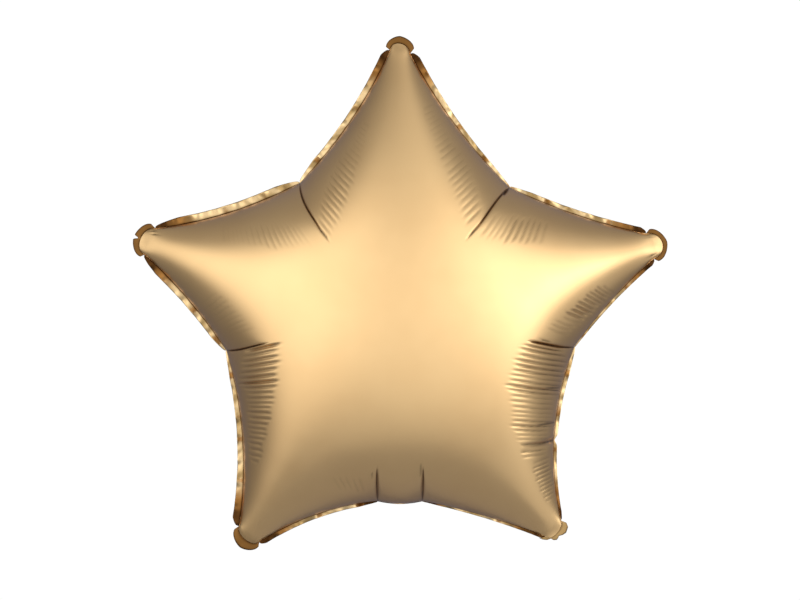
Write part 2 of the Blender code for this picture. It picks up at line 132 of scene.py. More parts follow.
def edgeLine(arm, side, s):
    # a straight line from waist (s = 0) to inner corner (s = 1), drawn in by a parabola 4 s (1 - s)
    start = arm["base"] + waistSide(arm, side)
    along = arm["corners"][side > 0][0] - start
    inward = sideOf(along / np.linalg.norm(along)) * side
    return start + np.outer(s, along) + np.outer(4 * s * (1 - s) * arm["draw"][side > 0], inward)


def edgeLength(arm, side):
    # length of the straight line from waist to inner corner
    return np.linalg.norm(arm["corners"][side > 0][0] - arm["base"] - waistSide(arm, side))


def hump(run):
    # rises from nothing to 1 at a third of the run, then dies out to its end
    return 27 / 4 * run * (1 - run) ** 2


def creaseLine(corner, t):
    # a quadratic Bezier curve from the corner to the centre, its middle point swung off the straight line,
    # pushed aside by a hump over the crease's length
    place, swing, length, bow = corner
    bearing = np.degrees(np.arctan2(-place[0], -place[1]))
    guide = place + polar(np.linalg.norm(place) / 2, bearing + swing)
    line = np.outer((1 - t) ** 2, place) + np.outer(2 * t * (1 - t), guide)
    part = np.clip(np.linalg.norm(line - place, axis=1) / length, 0, 1)
    return line + np.outer(bow * hump(part), polar(1, bearing + 90))


def armSteps(arm):
    # fractions from waist to corner: plain steps first, then fine ones over the gathered length
    length = max(edgeLength(arm, -1), edgeLength(arm, 1))
    turnPoint = 1 - arm["fine"] / length
    plain = np.linspace(0, turnPoint, max(2, int(turnPoint * length / sheet["plainStep"])), endpoint=False)
    close = 1 - np.array(sheet["creaseSteps"])[::-1] / length
    fine = np.linspace(turnPoint, close[0], int(arm["fine"] / sheet["fineStep"]), endpoint=False)
    return np.concatenate([plain, fine, close])


# Tabs: how pointed they are, how far their ears lie out from the foot, the slit's half width, how far along the tab
# its ears are rounded, and the length of outline that sets how finely it is divided
tabShape = {"point": 1.3, "earRise": .0034, "slitWidth": .0011, "earStops": (0, .35, .7), "outline": .022}


def tabSeam(arm, side, turn):
    # a quarter of an ellipse from the waist round to the arm's axis
    rise = np.sin(turn) * (arm["tab"][0] - arm["tab"][2])
    return arm["base"] + np.outer(np.cos(turn), waistSide(arm, side)) + np.outer(rise, arm["out"])


def tabOutline(arm, side, turn):
    # A pointed quarter of an ellipse: the width falls with a power of the turn's cosine, and the rise follows its
    # sine. A crumpled tab goes through its lobes' points instead.
    if "lobes" in arm:
        stops = np.array(arm["lobes"][side > 0]) / 1000
        at = turn / turn[-1] * (len(stops) - 1)
        width, rise = (np.interp(at, np.arange(len(stops)), stops[:, axis]) for axis in (0, 1))
        return arm["base"] + np.outer(width, sideOf(arm["out"]) * side) + np.outer(rise, arm["out"])
    width = np.cos(turn) ** tabShape["point"] * arm["tab"][1] / 2
    low = tabShape["earRise"]
    rise = low + (arm["tab"][0] - low) * np.sin(turn) + side * arm["skew"] / 4 * np.cos(turn)
    slit = arm["slit"] * np.exp(-((width / tabShape["slitWidth"]) ** 2))
    return arm["base"] + np.outer(width, sideOf(arm["out"]) * side) + np.outer(rise - slit, arm["out"])


# Seal margin: least width, share of the edge over which it narrows to a corner, width of its nip, and thickness at
# its outer edge. Its waves are (height in mm, wavelength in mm, phase). They grow outwards by liftPower, are full
# where it is waveWidth wide, and are weaker by tabCalm on a tab. besideTab and besideNeck: how far along the edge it
# is painted dark, as painted shade beside the tabs and as dark strips beside the neck's corners, and where that
# ends.
margin = {"least": .0007, "cornerFade": .16, "nipWidth": .0030, "edge": .0003, "across": 7, "step": .0010,
          "waves": ((1.0, 31, .4), (.75, 17.3, 1.9), (.40, 9.1, .2)), "waveWidth": .004, "tabCalm": .75,
          "liftPower": 1.2, "besideTab": (.010, .046), "besideNeck": (.011, .022)}


def marginWidth(arm, side, s):
    # least at both ends and at the pinch, and tapering evenly along the edge
    room = np.sqrt(np.clip(s / arm["shoulder"][side > 0], 0, 1) * np.clip((1 - s) / margin["cornerFade"], 0, 1))
    room = room * (1 + arm["taper"][side > 0] * (.5 - s))
    if side < 0 and "pinch" in arm:
        away = (1 - s) * edgeLength(arm, side) - arm["pinch"]
        room = room * (1 - np.exp(-(away / margin["nipWidth"]) ** 2))
    return margin["least"] + (arm["margin"][side > 0] - margin["least"]) * room


def neckMouth(s):
    # the line between the neck's two corners, sagging by a parabola
    line = cornerPlaces["neckRight"][0] + np.outer(s, [-neck["width"], 0.0])
    return line - np.column_stack([0 * s, 4 * s * (1 - s) * neck["sag"]])


def halfRim(arm, side, step):
    # seam and outer edge from inner corner to the tab's middle, point for point, and what each point is:
    # 0 on the margin, rising to 1 on the tab
    count = int(edgeLength(arm, side) / step)
    s = np.linspace(0, 1, count)
    edge = edgeLine(arm, side, s)
    slope = unitRows(np.gradient(edge, axis=0))
    away = np.column_stack([-slope[:, 1], slope[:, 0]]) * side
    away[-1] = edge[-1] / np.linalg.norm(edge[-1])
    flank = edge + away * marginWidth(arm, side, s)[:, None]
    turn = np.linspace(0, np.pi / 2, int(tabShape["outline"] / step) + 4)
    across = waistSide(arm, side)
    lip = tabOutline(arm, side, turn)
    root = edge[0] + across / np.linalg.norm(across) * margin["least"]
    ear = root + np.outer(tabShape["earStops"], lip[0] - root)
    lip = np.vstack([ear, lip])
    seam = tabSeam(arm, side, np.linspace(0, np.pi / 2, len(lip)))
    onTab = np.concatenate([np.zeros(count - 1), np.linspace(.3, 1, 4), np.ones(len(lip) - 4)])
    return np.vstack([edge[:0:-1], seam]), np.vstack([flank[:0:-1], lip]), onTab


def starRim(step):
    # the whole seam and outer edge, clockwise from the top arm's first corner
    rings = []
    for arm in arms:
        rings.append(halfRim(arm, -1, step))
        rings.append([ring[-2:0:-1] for ring in halfRim(arm, 1, step)])
        if arm is arms[2]:
            mouth = neckMouth(np.linspace(0, 1, int(neck["width"] / step))[:-1])
            rings.append((mouth, mouth - np.array([0, margin["least"]]), np.zeros(len(mouth))))
    return [np.concatenate(parts) for parts in zip(*rings)]


def softDistance(points, seam):
    # half a turn over the sum, along the seam's straight pieces, of the angle each piece takes up at the
    # point divided by its distance from the point
    total = np.zeros(len(points))
    for a, b in zip(seam, np.roll(seam, -1, axis=0)):
        ax, az = a[0] - points[:, 0], a[1] - points[:, 1]
        bx, bz = b[0] - points[:, 0], b[1] - points[:, 1]
        cross = ax * bz - az * bx
        cross[np.abs(cross) < 1e-12] = 1e-12
        total += np.arctan2(cross, ax * bx + az * bz) / cross * np.hypot(*(b - a))
    return np.pi / total


def swell(points, seam):
    # sqrt(2 width distance), held back at full height; the width grows with the soft minimum over the
    # arms of the distance in from the tab, and the tips flatten exponentially with that distance
    ins = [arm["reach"] - points @ arm["out"] for arm in arms]
    blend = swollen["armBlend"]
    inmost = -blend * np.log(sum(np.exp(-way / blend) for way in ins))
    width = swollen["leastWidth"] + swollen["armSpread"] * np.maximum(inmost, 0)
    height = np.sqrt(2 * width * np.maximum(softDistance(points, seam), 0))
    past = np.maximum(inmost - swollen["tipStart"], 0)
    height *= 1 - swollen["tipFlat"] * np.exp(-past / swollen["tipReach"])
    return height / (1 + (height / swollen["fullHeight"]) ** swollen["fullness"]) ** (1 / swollen["fullness"])


# Fans of fine gathers, in millimetres from the star's centre. Fold lines start on the line between two points.
# valleys are the places of their furrows along it, and strengths how deep each is as a share of depth. shade is how
# dark the furrows' floors are painted as painted shade, without it foldShade times the depth. angles and reach go by
# shares of the line: the folds' angle in degrees, and how far they run to either side of it.
fans = [
    {"name": "lowLeft", "from": (-115.2, -24.4), "to": (-121.1, -121.9), "depth": 2.6, "shade": .70,
     "angles": ((0, 13), (.35, 5), (1, -8)),
     "valleys": (1.2, 5.4, 10, 14.7, 19.6, 24.5, 29.2, 33.6, 38.2, 42.5, 46.9, 50.2, 54.4, 59.3, 63.7, 68.1,
                 72.1, 76.3, 80.7, 85.7, 90.9, 95.3),
     "strengths": (1, .6, .75, .75, .65, .75, 1, .65, .45, .5, .3, .35, .6, .55, .5, .35, .3, .35, .4, .35, .3, .2),
     "reach": ((0, -14, 16), (.12, -17, 17), (.31, -19, 16), (.36, -11, 15), (.56, -8, 12), (.82, -7, 7),
               (1, -4, 4))},
    {"name": "lowRight", "from": (113.5, -16.0), "to": (107.6, -116.9), "depth": 1.8, "shade": 1.0,
     "angles": ((0, -11), (.45, -8), (.8, -3), (1, 6)),
     "valleys": (4.9, 8.3, 12, 17.1, 21.4, 25.8, 30, 34.2, 38.2, 42.5, 46.2, 50.5, 54.7, 59.1, 63.1, 66.3, 70,
                 74.1, 77.8, 81.8, 85, 88.9, 95.1, 99.1),
     "strengths": (.8, 1, .85, .75, .85, .9, .7, .4, .6, 1, .7, .35, .35, .4, .25, .2, .55, .8, .6, .25, .2, .65,
                   .6, .3),
     "reach": ((.05, -7, 24), (.14, -15, 28), (.27, -19, 28), (.43, -24, 29), (.47, -21, 19), (.6, -18, 18),
               (.72, -18, 20), (.76, -16, 15), (.88, -10, 17), (1, -6, 12))},
    {"name": "lowRightTip", "from": (118.6, -116.9), "to": (125.3, -153.9), "depth": .72,
     "angles": ((0, 17), (1, 27)),
     "valleys": (1.8, 5.5, 8.7, 12.4, 15.9, 19.3, 22.6, 26, 29.2, 32.4, 35.9),
     "strengths": (.4, .8, 1, 1, .95, .7, .7, .7, .6, .5, .3),
     "reach": ((0, -10, 6), (.25, -10, 6), (.65, -7, 7), (1, -3.5, 4))},
    {"name": "topLeft", "from": (-28.6, 160.6), "to": (-60.6, 68.1), "depth": .62,
     "angles": ((0, -37), (1, -51)),
     "valleys": (1, 5.1, 9.3, 13.1, 17.2, 21.5, 26.2, 31.5, 36.5, 41.6, 46.8, 51.8, 57, 62.4, 67.5, 72.3,
                 77.7, 82.9, 88, 93.4),
     "strengths": (.2, .3, .25, .25, .25, .25, .3, .4, .5, .7, .75, .9, 1, 1, 1, .85, .85, .85, .6, .6),
     "reach": ((0, -3, 3), (.2, -6, 6), (.5, -14, 7), (.8, -16, 7), (1, -11, 4))},
    {"name": "topRight", "from": (20.9, 178.3), "to": (61.6, 78.2), "depth": .50,
     "angles": ((0, 28), (.4, 39), (1, 45)),
     "valleys": (4.4, 8.9, 13.6, 18, 22.7, 27.2, 31.8, 36.8, 41.9, 47.3, 54.2, 60.4, 65.8, 71, 76, 80.7, 86,
                 91.7, 97.4, 103.1),
     "strengths": (.3, .3, .25, .25, .25, .25, .3, .4, .7, .7, .4, .85, .85, .8, .7, .8, .8, .9, 1, 1),
     "reach": ((0, -4, 5), (.3, -6, 8), (.6, -7, 15), (.85, -7, 14), (1, -9, 9))},
    {"name": "rightTop", "from": (72.3, 76.5), "to": (124.5, 66.4), "depth": .84,
     "angles": ((0, 53), (1, 72)),
     "valleys": (0.8, 5.9, 10.2, 14.8, 19.8, 25.2, 30.4, 35.5, 40.7, 46.2),
     "strengths": (.4, .3, .3, .5, 1, .95, .8, .7, .7, .35),
     "reach": ((0, -13, 11), (.4, -12, 13), (.8, -8, 14), (1, -5, 9))},
    {"name": "leftTop", "from": (-63.1, 64.8), "to": (-147.2, 66.4), "depth": .31,
     "angles": ((0, -50), (1, -80)),
     "valleys": (13.6, 18.4, 22.7, 27.8, 32.1, 37.2, 42.2, 47.5, 52.5, 57.5, 62.3, 67, 70.7, 74, 78.6, 82.1),
     "strengths": (.2, .25, .35, .45, .5, .8, .95, 1, .7, .55, .4, .3, .25, .25, .25, .3),
     "reach": ((0, -13, 7), (.25, -15, 8), (.5, -13, 10), (.75, -10, 6), (1, -9, 5))},
    {"name": "rightLow", "from": (131.2, -15.1), "to": (177.5, 24.4), "depth": 1.6, "shade": .42,
     "angles": ((0, -16), (1, -37)),
     "valleys": (3.7, 8.1, 12.5, 18, 22.6, 27, 31.2, 35.2, 39.6, 43.4, 47, 50.5, 54, 57.6),
     "strengths": (.35, .45, .4, .35, .9, 1, 1, .9, .8, .75, .75, .8, .6, .3),
     "reach": ((0, -13, 6), (.45, -11, 5), (.8, -11, 5), (1, -7, 4))},
    {"name": "bottomLeft", "from": (-53.0, -136.5), "to": (-27.5, -139.5), "depth": .36,
     "angles": ((0, -58), (1, -74)), "valleys": (1, 5.9, 11.0, 16.3, 21.4), "strengths": (.5, 1, .9, 1, .6),
     "reach": ((0, -7, 7), (1, -7, 6))},
    {"name": "leftLow", "from": (-126.2, -15.1), "to": (-158.1, 16.0), "depth": .14,
     "angles": ((0, 17), (1, 36)),
     "valleys": (4.5, 9.1, 13.6, 18.5, 23.2, 29.1, 34, 39, 44.2), "strengths": (.5, .6, 1, .6, .85, 1, 1, 1, .5),
     "reach": ((0, -10, 9), (1, -9, 9))},
]
# Short single creases: ends in millimetres from the centre, depth and half width in millimetres
nicks = [
    ((64.9, 76.2), (56.0, 66.0), 1.0, .8), ((92.4, 109.4), (86.8, 101.9), 2.0, .9),
    ((-66.6, 73.8), (-58.4, 64.2), 1.0, .8), ((115.4, -18.0), (125.3, -20.6), .6, .7),
    ((121, -58.5), (134.5, -59.0), .7, .8), ((114, -89.3), (131, -88), .8, .8), ((-23, -127.9), (-23, -132), .5, .7),
    ((17, -120), (17, -132), .5, .7), ((-207.1, 74.5), (-204.5, 68.0), .8, .8), ((206, 69.4), (209.5, 66.2), .8, .8),
    ((212.3, 50.2), (208.6, 52.6), .8, .8),
]
# Creases: a broad valley and a fine cut in it, which starts at cutStart of its depth, is full past cutRise of the
# length and stops the more abruptly the higher the power cutStop is. shadeWidth is the width of the painted shade
# along the cut.
creases = {"depth": .0018, "width": .0052, "cut": .0028, "cutWidth": .0005, "cutStart": .75, "cutRise": .08,
           "cutStop": 8, "shadeWidth": .0007}
# Furrows: painted shade of their floors for each mm of depth, the painted floors' width as a share of a furrow, how
# ragged the folds end (length, and two sines' turn from furrow to furrow and phase), how abruptly, and how rounded
# the furrows are
furrows = {"foldShade": .62, "floorWidth": .34, "ragged": .0011, "raggedTurns": ((2.4, 1), (1.9, 2)), "endPower": 4,
           "rounding": .006}
# The nip: its dent, and its painted dark line of shade, with the distance from the edge where that ends
nip = {"depth": .0034, "width": .0026, "reach": .028, "shade": .8, "lineWidth": .0010, "lineEnd": .0224,
       "lineFade": .014}


def foldPattern(points, fan):
    # u is where the fold line through a point starts, found by four steps of Newton's rule, v how far along
    # the fold the point lies, and number counts the furrows. The foil sinks by 1 - |sin(pi number)|, faded
    # where the folds end. Returned with it is a mask of painted shade on the furrows' floors.
    start, end = np.array(fan["from"]) / 1000, np.array(fan["to"]) / 1000
    line = end - start
    length = np.linalg.norm(line)
    turns = np.array(fan["angles"])
    u = (points - start) @ line / length ** 2
    for _ in range(4):
        angle = np.radians(np.interp(u, turns[:, 0], turns[:, 1]))
        dx, dz = np.cos(angle), np.sin(angle)
        px, pz = (points - start - u[:, None] * line).T
        u = np.clip(u + (dx * pz - dz * px) / (dx * line[1] - dz * line[0]), -.5, 1.5)
    px, pz = (points - start - u[:, None] * line).T
    v = dx * px + dz * pz
    valleys = np.array(fan["valleys"]) / 1000 / length
    number = np.interp(u, valleys, np.arange(len(valleys)))
    beyond = np.maximum(valleys[0] - u, u - valleys[-1]) / (valleys[1] - valleys[0])
    ends = 1 - np.clip(beyond * 2, 0, 1)
    stops = np.array(fan["reach"])
    low, high = (np.interp(u, stops[:, 0], limit / 1000) + furrows["ragged"] * np.sin(rate * number + phase)
                 for limit, (rate, phase) in zip(stops.T[1:], furrows["raggedTurns"]))
    along = np.clip((v - low) / (high - low), 0, 1)
    strength = np.interp(number, np.arange(len(valleys)), fan["strengths"])
    strength = strength * ends * (1 - np.abs(2 * along - 1) ** furrows["endPower"])
    furrow = np.abs(np.sin(np.pi * number))
    # painted shade on the furrows' floors
    dark = fan.get("shade", furrows["foldShade"] * min(1, fan["depth"]))
    shade = dark * strength * np.exp(-(furrow / furrows["floorWidth"]) ** 2)
    return fan["depth"] / 1000 * strength * (1 - np.sqrt(furrow ** 2 + furrows["rounding"])), shade


def nickPattern(points, nick):
    # a groove along a straight line, with a bell-shaped section, that fades at both ends, and a mask of painted
    # shade in it
    start, end = np.array(nick[0]) / 1000, np.array(nick[1]) / 1000
    line = end - start
    along = np.clip((points - start) @ line / (line @ line), 0, 1)
    off = np.linalg.norm(points - start - along[:, None] * line, axis=1)
    mask = np.exp(-((off / nick[3] * 1000) ** 2)) * (4 * along * (1 - along)) ** .5
    # the second value is painted shade in the groove
    return nick[2] / 1000 * mask, mask * min(1, nick[2] * 1.1)


def finePattern(points):
    # everything small that sinks the foil along its normal, and how much painted shade a point gets in a furrow or
    # nick
    sink, shade = np.zeros(len(points)), np.zeros(len(points))
    for pattern, parts in ((foldPattern, fans), (nickPattern, nicks)):
        for part in parts:
            depth, mask = pattern(points, part)
            sink, shade = sink + depth, np.maximum(shade, mask)
    return sink, shade


def creasePattern(off, run, length):
    # A broad valley and a fine cut inside it, both with exponential sides. The cut deepens along the crease and
    # stops short at its end. The mask returned with it is painted shade along the cut.
    part = np.clip(run / length, 0, 1)
    start = creases["cutStart"]
    cut = (start + (1 - start) * part) * (1 - part ** creases["cutStop"])
    depth = creases["depth"] * np.exp(-off / creases["width"]) * hump(part)
    full = np.clip(part / creases["cutRise"], 0, 1)
    depth = depth + creases["cut"] * np.exp(-off / creases["cutWidth"]) * cut * full
    # the second value is painted shade along the cut
    return depth, cut * np.exp(-(off / creases["shadeWidth"]) ** 2)


def raised(plan, inward, sink, shade, seam):
    # (x, y, z): plan moved inwards by sink cos(turn), and height less sink sin(turn) towards the front. The
    # furrow mask of painted shade comes with it, with painted shade beside the seam added.
    turn = np.linspace(0, np.pi / 2, plan.shape[1])
    flat = plan.reshape(-1, 2)
    height = swell(flat, seam).reshape(plan.shape[:2])
    height[:, 0] = 0
    fineSink, fineShade = (part.reshape(plan.shape[:2]) for part in finePattern(flat))
    near = np.clip(turn / sheet["calmTurn"], 0, 1)
    push = -(sink + fineSink) * near
    out = plan - inward * (push * np.cos(turn))[:, :, None]
    grid = np.dstack([out[:, :, 0], -height - push * np.sin(turn), out[:, :, 1] - sheet["hang"]])
    # painted shade on the foil beside the seam
    foot = sheet["footShade"] * fadeOut(turn, (0, sheet["footTurn"]))
    return grid, np.maximum(np.maximum(shade, fineShade), foot)


def unitFrom(plan, edge):
    # directions from the seam to each point of the plan, nothing on the seam itself
    gap = np.linalg.norm(plan - edge, axis=2)
    way = np.zeros_like(plan)
    way[:, 1:] = (plan - edge)[:, 1:] / np.maximum(gap[:, 1:], 1e-9)[:, :, None]
    return way


def armSector(arm, side, seam):
    # Half an arm, from seam to middle line: plan = edge(s) (1 - t) + middle(s) t with t = 1 - cos(turn). The rows
    # near the tab bulge out with it, and the ones near the corner bend into its crease.
    s = armSteps(arm)
    turn = np.linspace(0, np.pi / 2, sheet["rows"] + 1)
    t = 1 - np.cos(turn)
    edge = edgeLine(arm, side, s)
    middle = arm["base"] * (1 - s[:, None] ** sheet["middlePower"])
    plan = edge[:, None] * (1 - t)[None, :, None] + middle[:, None] * t[None, :, None]
    bulge = (arm["tab"][0] - arm["tab"][2]) * (1 - s) ** sheet["bulgePower"]
    plan += bulge[:, None, None] * np.sin(turn)[None, :, None] * arm["out"]
    bend = (s ** sheet["bendPower"])[:, None, None]
    plan += (creaseLine(arm["corners"][side > 0], t) - plan[-1])[None] * bend
    off = np.linalg.norm(plan - plan[-1][None], axis=2)
    run = np.linalg.norm(plan[-1] - plan[-1, 0], axis=1)[None]
    sink, shade = creasePattern(off, run, arm["corners"][side > 0][2])
    if side < 0 and "pinch" in arm:
        place = (1 - s) * edgeLength(arm, side)
        inset = np.linalg.norm(plan - edge[:, None], axis=2)
        away = (place - arm["pinch"])[:, None]
        sink = sink + nip["depth"] * np.exp(-(away / nip["width"]) ** 2) * np.clip(1 - inset / nip["reach"], 0, 1)
        # a painted dark line of shade along the nip
        line = np.exp(-(away / nip["lineWidth"]) ** 2) * np.clip((nip["lineEnd"] - inset) / nip["lineFade"], 0, 1)
        shade = np.maximum(shade, nip["shade"] * line)
    # painted shade: the tip and its tab are darkened past the tab's foot
    beyond = arm["tab"][0] + swollen["tipShadeEnd"] - (arm["reach"] - plan @ arm["out"])
    shade = np.maximum(shade, swollen["tipShade"] * np.clip(beyond / swollen["tipShadeFade"], 0, 1))
    return raised(plan, unitFrom(plan, edge[:, None]), sink, shade, seam)


def neckFan(seam):
    # the narrow fan between the two neck creases, straight lines from one to the other
    s = np.linspace(0, 1, 49)
    t = 1 - np.cos(np.linspace(0, np.pi / 2, sheet["rows"] + 1))
    right, left = (creaseLine(cornerPlaces[name], t) for name in ("neckRight", "neckLeft"))
    plan = right[None] * (1 - s)[:, None, None] + left[None] * s[:, None, None]
    plan += (neckMouth(s) - plan[:, 0])[:, None] * ((1 - t) ** 2)[None, :, None]
    off = np.minimum(*(np.linalg.norm(plan - line[None], axis=2) for line in (right, left)))
    run = np.linalg.norm(right - right[0], axis=1)[None]
    return raised(plan, unitFrom(plan, plan[:, :1]), *creasePattern(off, run, neck["crease"]), seam)


def gridFaces(rows, columns, first):
    # corner numbers of the quads of a grid whose points are numbered row by row
    a = first + np.arange(rows - 1)[:, None] * columns + np.arange(columns - 1)
    return np.stack([a, a + columns, a + columns + 1, a + 1], axis=-1).reshape(-1, 4)


def meshOf(name, points, faces):
    # Puts points and quads into a mesh. Points that coincide are merged, and a quad with two corners in one
    # place is made a triangle.
    _, first, index = np.unique(np.round(points / weldStep).astype(np.int64), axis=0, return_index=True,
                                return_inverse=True)
    faces = index.reshape(-1)[faces]
    same = faces == np.roll(faces, -1, axis=1)
    quads = faces[~same.any(axis=1)]
    pinched = same.sum(axis=1) == 1
    turned = (np.arange(4) + same[pinched].argmax(axis=1)[:, None]) % 4
    triangles = np.take_along_axis(faces[pinched], turned, axis=1)[:, 1:]
    mesh = bpy.data.meshes.new(name)
    mesh.from_pydata(points[first].tolist(), [], quads.tolist() + triangles.tolist())
    mesh.validate()
    piece = bpy.data.objects.new(name, mesh)
    bpy.context.scene.collection.objects.link(piece)
    mesh.shade_smooth()
    return piece, first


def addValues(piece, name, values):
    # one number a point, for the materials to read
    layer = piece.data.attributes.new(name, "FLOAT", "POINT")
    layer.data.foreach_set("value", values.astype(np.float32))


def buildSheets():
    # Ten half arms and the neck's fan, joined into the front. The back is its mirror image. Every second half arm
    # and the neck's fan run the other way round, so their faces are turned.
    seam = starRim(.003)[0]
    grids = [armSector(arm, side, seam) for arm in arms for side in (-1, 1)] + [neckFan(seam)]
    points, faces = [], []
    shades = np.concatenate([shade.reshape(-1) for _, shade in grids])
    count = 0
    for number, (grid, _) in enumerate(grids):
        quads = gridFaces(grid.shape[0], grid.shape[1], count)
        flip = number % 2 == 1 or number == 10
        faces.append(quads[:, ::-1] if flip else quads)
        points.append(grid.reshape(-1, 3))
        count += grid.shape[0] * grid.shape[1]
    points, faces = np.vstack(points), np.vstack(faces)
    mirrored = points * [1, -1, 1] + [0, sheet["thickness"], 0]
    front, first = meshOf("front_sheet", points, faces)
    back, firstBack = meshOf("back_sheet", mirrored, faces[:, ::-1])
    # the furrow values carry all the painted shade of the sheets: furrows, creases, nip, tips and seam
    addValues(front, "furrow", shades[first])
    addValues(back, "furrow", shades[firstBack])
    print("sheets", len(front.data.polygons) * 2, "triangles each")
    return front, back, seam


front, back, seam = buildSheets()


def buildMargin():
    # A closed band round the star: t from seam to outer edge, y lifted by a sum of sines of the run, growing with t.
    # crumpled marks the tab that has lobes, and run is the distance along the seam.
    inner, outer, onTab = starRim(margin["step"])
    run = np.concatenate([[0], np.cumsum(np.linalg.norm(np.diff(inner, axis=0), axis=1))]) * 1000
    wave = sum(high * np.sin(2 * np.pi * run / length + phase) for high, length, phase in margin["waves"]) / 1000
    wide = np.linalg.norm(outer - inner, axis=1)
    crumpled = onTab * (inner @ arms[2]["out"] > arms[2]["reach"] * .8)
    wave *= np.clip(wide / margin["waveWidth"], 0, 1) * (1 - margin["tabCalm"] * onTab)
    # painted shade on the margin beside the tabs, and dark strips beside the neck's corners
    tabRuns = run[onTab > .9]
    away = np.abs(run[:, None] - tabRuns[None, ::4]).min(axis=1) / 1000
    beside = fadeOut(away, margin["besideTab"])
    neckCorners = np.array([cornerPlaces["neckRight"][0], cornerPlaces["neckLeft"][0]])
    away = np.linalg.norm(inner[:, None] - neckCorners, axis=2).min(axis=1)
    beside = np.maximum(beside, fadeOut(away, margin["besideNeck"]))
    t = np.linspace(0, 1, margin["across"])
    plan = inner[:, None] * (1 - t)[None, :, None] + outer[:, None] * t[None, :, None]
    lift = wave[:, None] * t[None] ** margin["liftPower"]
    thin = sheet["thickness"] * (1 - t) + margin["edge"] * t
    middle = sheet["thickness"] / 2
    loops = [np.dstack([plan[:, :, 0], lift + y[None], plan[:, :, 1] - sheet["hang"]])
             for y in (middle - thin / 2, middle + thin / 2)]
    whole = np.concatenate([loops[0], loops[1][:, ::-1], loops[0][:, :1]], axis=1)
    whole = np.concatenate([whole, whole[:1]], axis=0)
    faces = gridFaces(whole.shape[0], whole.shape[1], 0)
    piece, first = meshOf("seal_margin", whole.reshape(-1, 3), faces)
    for name, values in (("onTab", onTab), ("besideTab", beside), ("run", run / 1000), ("crumpled", crumpled)):
        addValues(piece, name, np.repeat(np.append(values, values[0]), whole.shape[1])[first])
    addValues(piece, "across", np.tile(np.concatenate([t, t[::-1], t[:1]]), whole.shape[0])[first])
    return piece


sealMargin = buildMargin()


def buildNeckTail():
    # The flat tail: a section carried along a path that leaves the mouth, turns and climbs the back at a lift. The
    # section is a flattened ellipse, bowed and rippled.
    rise = neck["length"] * np.linspace(0, 1, 80) ** 2
    points = np.column_stack([0 * rise, rise - neckDrop - neck["sag"]])
    wall = np.column_stack([sheet["thickness"] + swell(points, seam), points[:, 1]])
    slope = unitRows(np.gradient(wall, axis=0))
    path = wall + neck["lift"] * np.column_stack([slope[:, 1], -slope[:, 0]])
    run = np.concatenate([[0], np.cumsum(np.linalg.norm(np.diff(path, axis=0), axis=1))])
    stops = np.linspace(0, neck["length"], 90)
    path = np.column_stack([np.interp(stops, run, path[:, axis]) for axis in (0, 1)])
    path[:, 1] += neck["shift"]
    path[0] = (sheet["thickness"], neck["root"] - neckDrop - neck["sag"])
    slope = unitRows(np.gradient(path, axis=0))
    away = np.column_stack([slope[:, 1], -slope[:, 0]])
    turn = np.linspace(0, 2 * np.pi, 65)
    half = neck["width"] / 2 - neck["inset"]
    acrossPower, throughPower = neck["section"]
    x = np.sign(np.cos(turn)) * np.abs(np.cos(turn)) ** acrossPower * half
    thick = np.sign(np.sin(turn)) * np.abs(np.sin(turn)) ** throughPower * neck["halfThickness"]
    bow = neck["bow"] * np.cos(np.pi * x / half / 2)
    ripple = np.sin(2 * np.pi * stops[:, None] / neck["rippleLength"] + x[None] / half * neck["rippleSlant"])
    ripple = neck["ripple"] * ripple * (stops / neck["length"])[:, None]
    out = thick[None] + bow[None] * np.clip(stops / neck["bowStart"], 0, 1)[:, None] + ripple
    y = path[:, 0][:, None] + away[:, 0][:, None] * out
    z = path[:, 1][:, None] + away[:, 1][:, None] * out - sheet["hang"]
    grid = np.dstack([np.broadcast_to(x, y.shape), y, z])
    ends = [np.repeat(grid[i].mean(axis=0)[None], grid.shape[1], axis=0)[None] for i in (0, -1)]
    grid = np.concatenate([ends[0], grid, ends[1]], axis=0)
    piece, _ = meshOf("fill_neck", grid.reshape(-1, 3), gridFaces(grid.shape[0], grid.shape[1], 0)[:, ::-1])
    return piece


fillNeck = buildNeckTail()
print("margin and neck built")

# Foil colours and finish. Painted shade turns the furrows' floors and the margin beside the tabs a deep copper. Each
# bump is (distance, strength). clouds and patches are (noise scale, where they start, where they are full).
foil = {"gold": (.82, .56, .275, 1), "goldDeep": (.78, .52, .25, 1), "edgeTint": (.72, .72, .92, 1),
        "furrow": (.030, .011, .004, 1), "furrowAmount": .96, "clouds": (11, .35, .68), "roughness": .33,
        "spread": .05, "dentScale": 24.0, "grain": .05, "bump": (.0012, .12)}
# The margin's patches mix its own gold with copper that is a painted reflection of the body, and slant turns them
# off the edge. onTab and onCrumpled say between which values of their masks a tab's colour comes in, and besideSteps
# where painted shade on the margin beside one turns it copper and then dark. footWidth and footAmount give a dark
# foot of painted shade along the seam.
sealFoilLook = {"gold": (.76, .55, .29, 1), "copper": (.36, .235, .095, 1), "shadedCopper": (.25, .115, .030, 1),
                "tab": (.185, .088, .024, 1), "crumpled": (.42, .27, .11, 1), "rim": (.030, .010, .003, 1),
                "patches": (70, .38, .60), "slant": .005, "onTab": (.3, .9), "onCrumpled": (.2, .8),
                "besideSteps": (.1, .62, 1.0), "besideAmount": .95, "footWidth": .34,
                "footAmount": .72, "rimStart": .70, "rimAmount": .8, "roughness": .22, "spread": .08,
                "dentScale": 75.0, "grain": .04, "bump": (.0010, .16)}


def socket(tree, name, way, kind="NodeSocketFloat", value=None):
    made = tree.interface.new_socket(name, in_out=way, socket_type=kind)
    if value is not None:
        made.default_value = value


